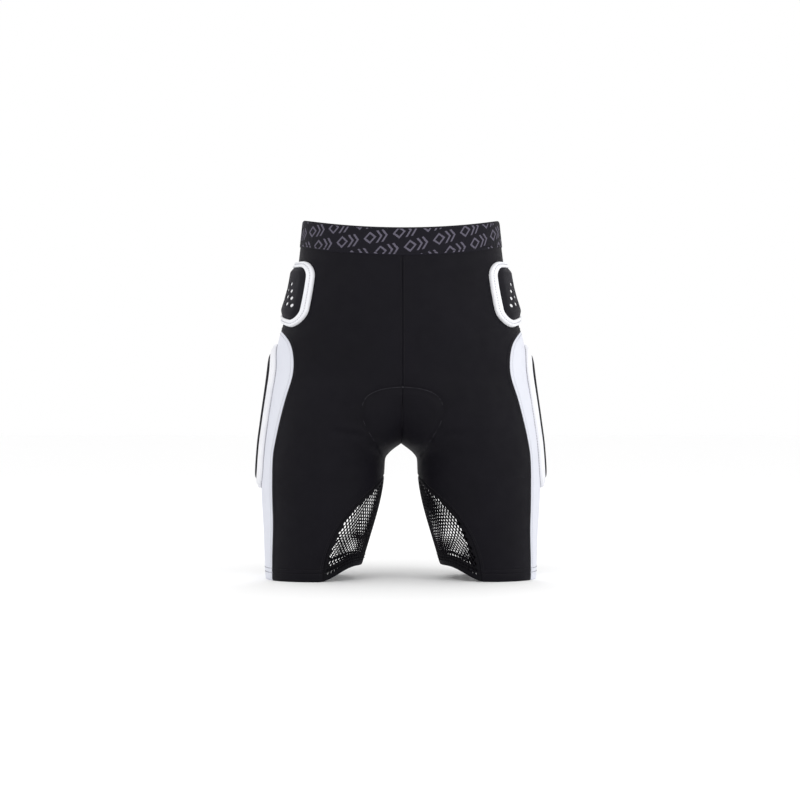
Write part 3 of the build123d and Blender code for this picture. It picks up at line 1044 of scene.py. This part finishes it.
class Pad:
    """One impact pad: where it lies, its outline, and the pieces that it is made of."""

    def __init__(self, kind, side, body, ending):
        self.kind, self.side, self.body, self.ending = kind, side, body, ending
        self.facts = PADS[kind]
        self.outline = rounded(self.facts["corners"], self.facts["radii"], step=2.2)
        self.well = inset(self.outline, RIM_WIDTH - 0.5)

    def build(self, part, points, faces, material, cloth=None, fill=None):
        """A piece of the pad, which stands for the CAD node of its name unless it is stitches."""
        name = f"{self.kind}_{part}{self.ending}"
        verts, faces = mirrored(points, faces, self.side)
        attributes = None if cloth is None else {"cloth": cloth}
        piece = make(name, verts, faces, MATERIALS[material], attributes=attributes)
        settle(piece, () if part == "stitches" else (name,), self.body, self.side)
        if fill:
            outward(piece)

    def lift(self, flat, height):
        return placed(flat, np.broadcast_to(height, len(flat)), self.facts["view"])[0]

    def add_shell(self):
        count, total = len(self.outline), len(RIM_PROFILE)
        rings = [self.lift(inset(self.outline, depth), height) for depth, height in RIM_PROFILE]
        k, j = np.meshgrid(np.arange(total), np.arange(count), indexing="ij")
        a, b = k * count + j, k * count + (j + 1) % count
        c, d = (b + count) % (total * count), (a + count) % (total * count)
        faces = np.stack([a, b, c, d], -1).reshape(-1, 4).tolist()
        self.build("shell", np.vstack(rings), faces, "shell", fill=1.0)

    def add_cover(self):
        """The ventilated cover: crowned, sunk round each vent, and tucked in at its edge."""
        vents = vent_loops(*self.facts["vents"], inset(self.outline, RIM_WIDTH))
        middles = np.array([v.mean(0) for v in vents])
        rims = [v.mean(0) + (v - v.mean(0)) * VENT_RIM for v in vents]
        flat, tris = patch(self.well, 3.0, vents, rims)
        ellipse = (flat[:, None] - middles) / [VENT_WIDTH / 2, VENT_HEIGHT / 2]
        height = cover_height(flat, self.well)
        height -= VENT_DIP * smooth((1.32 - np.linalg.norm(ellipse, axis=2).min(1)) / 0.5)
        height -= EDGE_TUCK * smooth((0.6 - distance_to(flat, self.well)) / 0.6)
        face, under = self.lift(flat, height), self.lift(flat, height - COVER_THICKNESS)
        points, faces = slab(face, under, tris)
        cloth = np.tile(np.column_stack([flat, np.zeros(len(flat))]), (2, 1))
        self.build("cover", points, faces, "cover", cloth, fill=0.9)

    def add_core(self):
        flat, tris = patch(inset(self.outline, RIM_WIDTH + 0.4), 5.0)
        face = self.lift(flat, cover_height(flat, self.well) - CORE_GAP)
        points, faces = slab(face, self.lift(flat, CORE_UNDER), tris)
        self.build("core", points, faces, "core", fill=1.0)

    def add_stitches(self):
        lines = []
        for depth, height in self.facts["stitches"]:
            loop = inset(self.outline, depth)
            closed = np.vstack([loop, loop[:1]])
            lines.append(placed(closed, np.full(len(closed), height), self.facts["view"]))
        # The thigh pad's second row, round its foot, is partly painted shade along the pad's wall.
        points, faces = stitch_mesh(lines, length=3.0, gap=0.9, radius=0.38)
        self.build("stitches", points, faces, "thread_pale_and_foot_shade")


def make_pad(kind, side, body, ending):
    pad = Pad(kind, side, body, ending)
    pad.add_shell()
    pad.add_cover()
    pad.add_core()
    pad.add_stitches()


def outward(obj):
    """Turns a closed mesh's faces to look out."""
    mesh = bmesh.new()
    mesh.from_mesh(obj.data)
    bmesh.ops.recalc_face_normals(mesh, faces=mesh.faces)
    mesh.to_mesh(obj.data)
    mesh.free()


# ---------------------------------------------------------------- inner-thigh mesh
MESH_PITCH, MESH_ROW = 5.4, 4.5
MESH_HOLE = (1.9, 2.65)  # half width and half height
MESH_TILT = math.radians(12)
MESH_BORDER = 5.6
MESH_CLOTH = 0.9


class InnerThigh:
    """The inner thigh rolled flat: distance round the leg from its inmost line, and level."""

    def __init__(self):
        self.levels = np.arange(0.0, MESH_TOP_Z + 1.0, 2.0)
        self.theta = np.linspace(0.35 * math.pi, 1.65 * math.pi, 261)
        self.run = []
        for z0 in self.levels:
            p = body_points(self.theta, z0)
            s = arc_length(p)
            self.run.append(s - np.interp(math.pi, self.theta, s))
        self.run = np.array(self.run)

    def row(self, z0):
        k = np.clip(z0 / 2.0, 0, len(self.levels) - 1.001)
        i, f = int(k), k - int(k)
        return self.run[i] * (1 - f) + self.run[i + 1] * f

    def across(self, theta, z0):
        return float(np.interp(theta, self.theta, self.row(z0)))

    def angle(self, u, z0):
        return float(np.interp(u, self.row(z0), self.theta))


def mesh_holes(outline, low, shift):
    """Staggered slanted ovals inside the outline."""
    turn = np.linspace(0, 2 * math.pi, 8, endpoint=False)
    x, y = MESH_HOLE[0] * np.cos(turn), MESH_HOLE[1] * np.sin(turn)
    shape = np.stack([
        x * math.cos(MESH_TILT) - y * math.sin(MESH_TILT),
        x * math.sin(MESH_TILT) + y * math.cos(MESH_TILT),
    ], 1)
    loops = []
    for row, v in enumerate(np.arange(low, MESH_TOP_Z, MESH_ROW)):
        for u in np.arange(-120.0, 120.0, MESH_PITCH) + (row % 2) * MESH_PITCH / 2 + shift:
            at = np.array([[u, v]])
            if inside(at, outline)[0] and distance_to(at, outline)[0] > MESH_BORDER:
                loops.append(at + shape)
    return loops


def make_thigh_mesh(side):
    flat_thigh = InnerThigh()

    def outline_between(low, high, step=2.4):
        levels = np.linspace(low, high, int((high - low) / step) + 2)
        right = [(flat_thigh.across(2 * math.pi + float(front_inner(z)), z), z) for z in levels]
        left = [(flat_thigh.across(float(rear_inner(z)), z), z) for z in levels[::-1]]
        loop = np.array(right + left)
        gap = np.linalg.norm(loop - np.roll(loop, 1, 0), axis=1)
        return spaced_points(loop[gap > 0.05], step)

    def sheet(outline, holes, out):
        flat, tris = patch(outline, 2.6, holes)
        theta = np.array([flat_thigh.angle(u, v) for u, v in flat])
        p, n = body_points(theta, flat[:, 1]), body_normals(theta, flat[:, 1])
        from_edge = distance_to(flat, outline)
        height = out - 0.6 * np.exp(-((from_edge / 1.4) ** 2))
        points, faces = slab(p + n * height[:, None], p + n * (height - MESH_CLOTH)[:, None], tris)
        cloth = np.tile(np.column_stack([flat, from_edge]), (2, 1))
        return points, faces, cloth

    outer = outline_between(0.0, MESH_TOP_Z - 1.0)
    hem = outline_between(1.0, HEM_HEIGHT)
    first = sheet(outer, mesh_holes(outer, 5.0, 0.0), 0.1)
    second = sheet(hem, mesh_holes(hem, 3.0, 1.6), -1.2)
    points = np.vstack([first[0], second[0]])
    faces = list(first[1]) + [tuple(k + len(first[0]) for k in f) for f in second[1]]
    verts, faces = mirrored(points, faces, side)
    piece = make(
        f"thigh_mesh_{side}", verts, faces, MATERIALS["mesh"],
        attributes={"cloth": np.vstack([first[2], second[2]])},
    )
    outward(piece)
    settle(piece, (f"thigh_mesh_{side}",), side=side)


# ---------------------------------------------------------------- seat pad inside the crotch
SEAT_FOAM, SEAT_FLEECE = 5.0, 1.4
QUILT_PITCH = 22.0


def seat_grid(face):
    """Angles and levels of the seat pad on one face: from its outline in to the middle line."""
    outline = SEAT_PAD_FRONT if face == FRONT else SEAT_PAD_REAR
    levels = np.unique(np.append(np.linspace(150.0, outline[0, 1] - 0.6, 60), SADDLE_LEVELS))
    columns = 26
    theta, z0 = np.zeros((len(levels), columns)), np.repeat(levels[:, None], columns, 1)
    for k, level in enumerate(levels):
        x = np.interp(level, outline[::-1, 1], outline[::-1, 0])
        edge = face * math.acos(np.clip((x - centre(level)) / half_width(level), -1, 1))
        middle = float(inner_seam(face, level)) if level > CROTCH_Z else face * math.pi
        theta[k] = np.linspace(edge, middle, columns)
    x = body_points(theta, z0)[..., 0]
    d = depth_inside(np.stack([x.ravel(), z0.ravel()], 1), outline).reshape(x.shape)
    return theta, z0, np.maximum(d, 0.0)


def saddle_normals(theta, z0):
    """Outward directions that both halves share along the middle line, so that the pad is one."""
    p, n = body_points(theta, z0), body_normals(theta, z0)
    n[..., 0] *= smooth(p[..., 0] / 17.0)
    return p, unit(n)


def seat_layers(face):
    """The seat pad on one face: its points over the cloth, under the foam and under the fleece."""
    theta, z0, d = seat_grid(face)
    p, n = saddle_normals(theta, z0)
    full = smooth((d + 1.2) / 7.0)
    channel = np.exp(-(((np.mod(z0 + 0.6 * d, QUILT_PITCH) - QUILT_PITCH / 2) / 1.6) ** 2))
    under = CLOTH + 0.4 + SEAT_FOAM * full - 0.8 * channel * smooth(d / 12.0)
    top = p - n * (CLOTH + 0.4)
    foam = p - n * (under - 0.05)[..., None]
    fleece = p - n * (under + SEAT_FLEECE)[..., None]
    cloth = np.stack([p[..., 0], z0, d], -1)
    grid = grid_faces(*theta.shape)
    if face == FRONT:
        grid = grid[:, ::-1]
    return [q.reshape(-1, 3) for q in (top, foam, fleece, cloth)], grid


def make_seat_pad():
    """Two halves, one for each leg, that meet at the middle."""
    for node, slot, material, upper in (
        ("seat_pad_foam", "seat_foam", "seat_foam", 0),
        ("seat_pad_facing", "seat_fleece", "fleece", 1),
    ):
        for side in SIDES:
            make_seat_half(node, material, upper, side)


def make_seat_half(node, material, upper, side):
    verts, faces, cloth = [], [], []
    for face in (FRONT, REAR):
        layers, grid = seat_layers(face)
        points, quads = slab(layers[upper], layers[upper + 1], grid)
        placed_points, placed_quads = mirrored(points, quads, side)
        faces += [tuple(k + len(verts) for k in f) for f in placed_quads]
        verts += placed_points.tolist()
        cloth += np.tile(layers[3], (2, 1)).tolist()
    piece = make(f"{node}_{side}", verts, faces, MATERIALS[material], attributes={"cloth": cloth})
    weld(piece, 0.05)
    settle(piece, (node,), side=side)


# ---------------------------------------------------------------- rows of stitches
def build_stitches(name, lines, side, material="thread_black", body=None, slot="stretch_black", **size):
    points, faces = stitch_mesh(lines, **size)
    verts, faces = mirrored(points, faces, side)
    piece = make(name, verts, faces, MATERIALS[material])
    settle(piece, (), body, side)
    return piece


def beside(curve, offset):
    """The curve of a flat view moved to its right-hand side."""
    ahead = unit(np.gradient(curve, axis=0))
    return curve + offset * np.stack([ahead[:, 1], -ahead[:, 0]], 1)


def lifted(points, view, face, side, height=0.0):
    p, n = placed(points, np.zeros(len(points)), view, grow=0.0)
    return p + n * (cloth_relief(p, face, side) + height)[:, None], n


def side_panel_rows(side, offset, height):
    """Rows beside the side panel's edge, in front and behind, that stop short of its apex."""
    arch = SIDE_PANEL_EDGE[SIDE_PANEL_EDGE[:, 1] > 1.0]
    apex = int(np.argmax(arch[:, 1]))
    return [
        lifted(beside(arch[: apex + 1], offset)[:-6], "side", FRONT, side, height),
        lifted(beside(arch[apex:], offset)[6:], "side", REAR, side, height),
    ]


def sew_side_panel(side):
    outside, inside_it = side_panel_rows(side, -4.2, 0.1), side_panel_rows(side, 3.4, 0.35)
    build_stitches(f"side_seam_stitches_{side}", outside, side, radius=0.34)
    build_stitches(
        f"side_panel_stitches_{side}", inside_it, side, "thread_white", slot="stretch_white", radius=0.3
    )


def sew_centre_seam(side):
    low, high = CROTCH_Z + 3.0, BAND_BOTTOM_Z - 1.0
    lines = [
        seam_line(front_inner, low, high, 2.4, FRONT, side, height=0.05),
        seam_line(rear_inner, low, high, -2.4, REAR, side, height=0.05),
    ]
    build_stitches(f"centre_seam_stitches_{side}", lines, side)


def sew_mesh_seams(side):
    lines = []
    for face, seam, offset in ((FRONT, front_inner, 2.6), (REAR, rear_inner, -2.6)):
        for times in (1.0, 2.0):
            shift = offset * times
            lines.append(seam_line(seam, 2.0, MESH_TOP_Z - 2.0, shift, face, side, height=0.05))
    build_stitches(f"mesh_seam_stitches_{side}", lines, side)


def sew_hems(side):
    """Rows round the leg at the hem: in front, behind and on the mesh in black, and grey on white."""
    black, grey = [], []
    for z0 in HEM_ROWS:
        front_in, front_out = float(front_inner(z0)), float(front_side(z0))
        rear_out, rear_in = float(rear_side(z0)), float(rear_inner(z0))
        black.append(level_line(z0, front_in, front_out - 0.01, FRONT, side, 0.05))
        black.append(level_line(z0, rear_out + 0.01, rear_in, REAR, side, 0.05))
        black.append(level_line(z0, rear_in, 2 * math.pi + front_in, FRONT, side, 0.25))
        grey.append(level_line(z0, front_out, rear_out, FRONT, side, 0.1))
    build_stitches(f"hem_stitches_{side}", black, side)
    build_stitches(f"side_hem_stitches_{side}", grey, side, "thread_grey", slot="stretch_white")


def sew_seat_pad(side):
    lines = []
    for face, outline in ((FRONT, SEAT_PAD_FRONT), (REAR, SEAT_PAD_REAR)):
        inner = beside(outline, 0.8)
        inner = inner[(inner[:, 0] > 0.5) & (inner[:, 1] > 178.0)]
        lines.append(lifted(inner, face, face, side, 0.1))
    # The thread's grey, lighter than the cloth, partly stands for glints along the seat pad's edge: painted
    # highlight.
    build_stitches(f"seat_pad_stitches_{side}", lines, side, "thread_dark_and_glints")


def make_stitches(side):
    sew_side_panel(side)
    sew_centre_seam(side)
    sew_mesh_seams(side)
    sew_hems(side)
    sew_seat_pad(side)


def make_band_stitches():
    lines = []
    for flip in (1, -1):
        z0 = BAND_BOTTOM_Z + 4.2
        middle = abs(float(front_inner(z0)))
        theta = np.linspace(-middle, middle, 200)
        n = body_normals(theta, z0)
        p = body_points(theta, z0) + n * 0.85
        lines.append((p * [flip, 1, 1], n * [flip, 1, 1]))
    build_stitches("waistband_stitches", lines, "left", "thread_black", "pelvis", "waistband_elastic")


# ---------------------------------------------------------------- room, light and camera
def make_stage():
    mesh = bpy.data.meshes.new("floor")
    reach = 12.0
    corners = [(-reach, -reach), (reach, -reach), (reach, reach), (-reach, reach)]
    mesh.from_pydata([(x, y, 0.0) for x, y in corners], [], [(0, 1, 2, 3)])
    floor = bpy.data.objects.new("floor", mesh)
    bpy.context.scene.collection.objects.link(floor)
    s = Shader("pale_floor")
    mesh.materials.append(s.set(Base_Color=(0.99, 0.99, 0.99, 1.0), Roughness=0.9, Specular_IOR_Level=0.1))


def add_light(name, place, target, size, power):
    light = bpy.data.lights.new(name, "AREA")
    light.shape, light.size, light.energy = "DISK", size, power
    obj = bpy.data.objects.new(name, light)
    obj.location = place
    obj.rotation_euler = (Vector(target) - Vector(place)).to_track_quat("-Z", "Y").to_euler()
    bpy.context.scene.collection.objects.link(obj)


def make_lights():
    world = bpy.data.worlds.new("studio")
    world.use_nodes = True
    world.node_tree.nodes["Background"].inputs["Color"].default_value = (1.0, 1.0, 1.0, 1.0)
    world.node_tree.nodes["Background"].inputs["Strength"].default_value = 1.0
    bpy.context.scene.world = world
    bpy.context.scene.view_settings.view_transform = "Standard"
    middle = (0.0, 0.0, 0.26)
    add_light("key", (-1.1, -2.4, 2.2), middle, 1.6, 12.0)
    add_light("fill", (2.2, -1.7, 1.1), middle, 1.2, 16.0)
    add_light("back", (0.4, 2.4, 1.8), middle, 1.6, 8.0)


def make_camera():
    data = bpy.data.cameras.new("camera")
    data.lens, data.sensor_width = 95.0, 36.0
    camera = bpy.data.objects.new("camera", data)
    target = Vector((-0.0014, BODY_Y * MM, 0.2528))
    yaw = math.radians(1.2)
    away = Vector((-math.sin(yaw), -math.cos(yaw), 0.0))
    camera.location = target + away * 3.0
    camera.rotation_euler = (-away).to_track_quat("-Z", "Y").to_euler()
    bpy.context.scene.collection.objects.link(camera)
    bpy.context.scene.camera = camera


# ---------------------------------------------------------------- everything
def main():
    make_camera()
    make_lights()
    make_stage()
    make_waistband()
    make_band_stitches()
    for side in SIDES:
        make_panels(side)
        make_hem_facing(side)
        make_thigh_mesh(side)
        make_stitches(side)
        make_pad("hip_pad", side, "pelvis", f"_{side}")
        make_pad("thigh_pad", side, None, f"_{side}")
    make_pad("tailbone_pad", "left", "pelvis", "")
    make_seat_pad()


main()
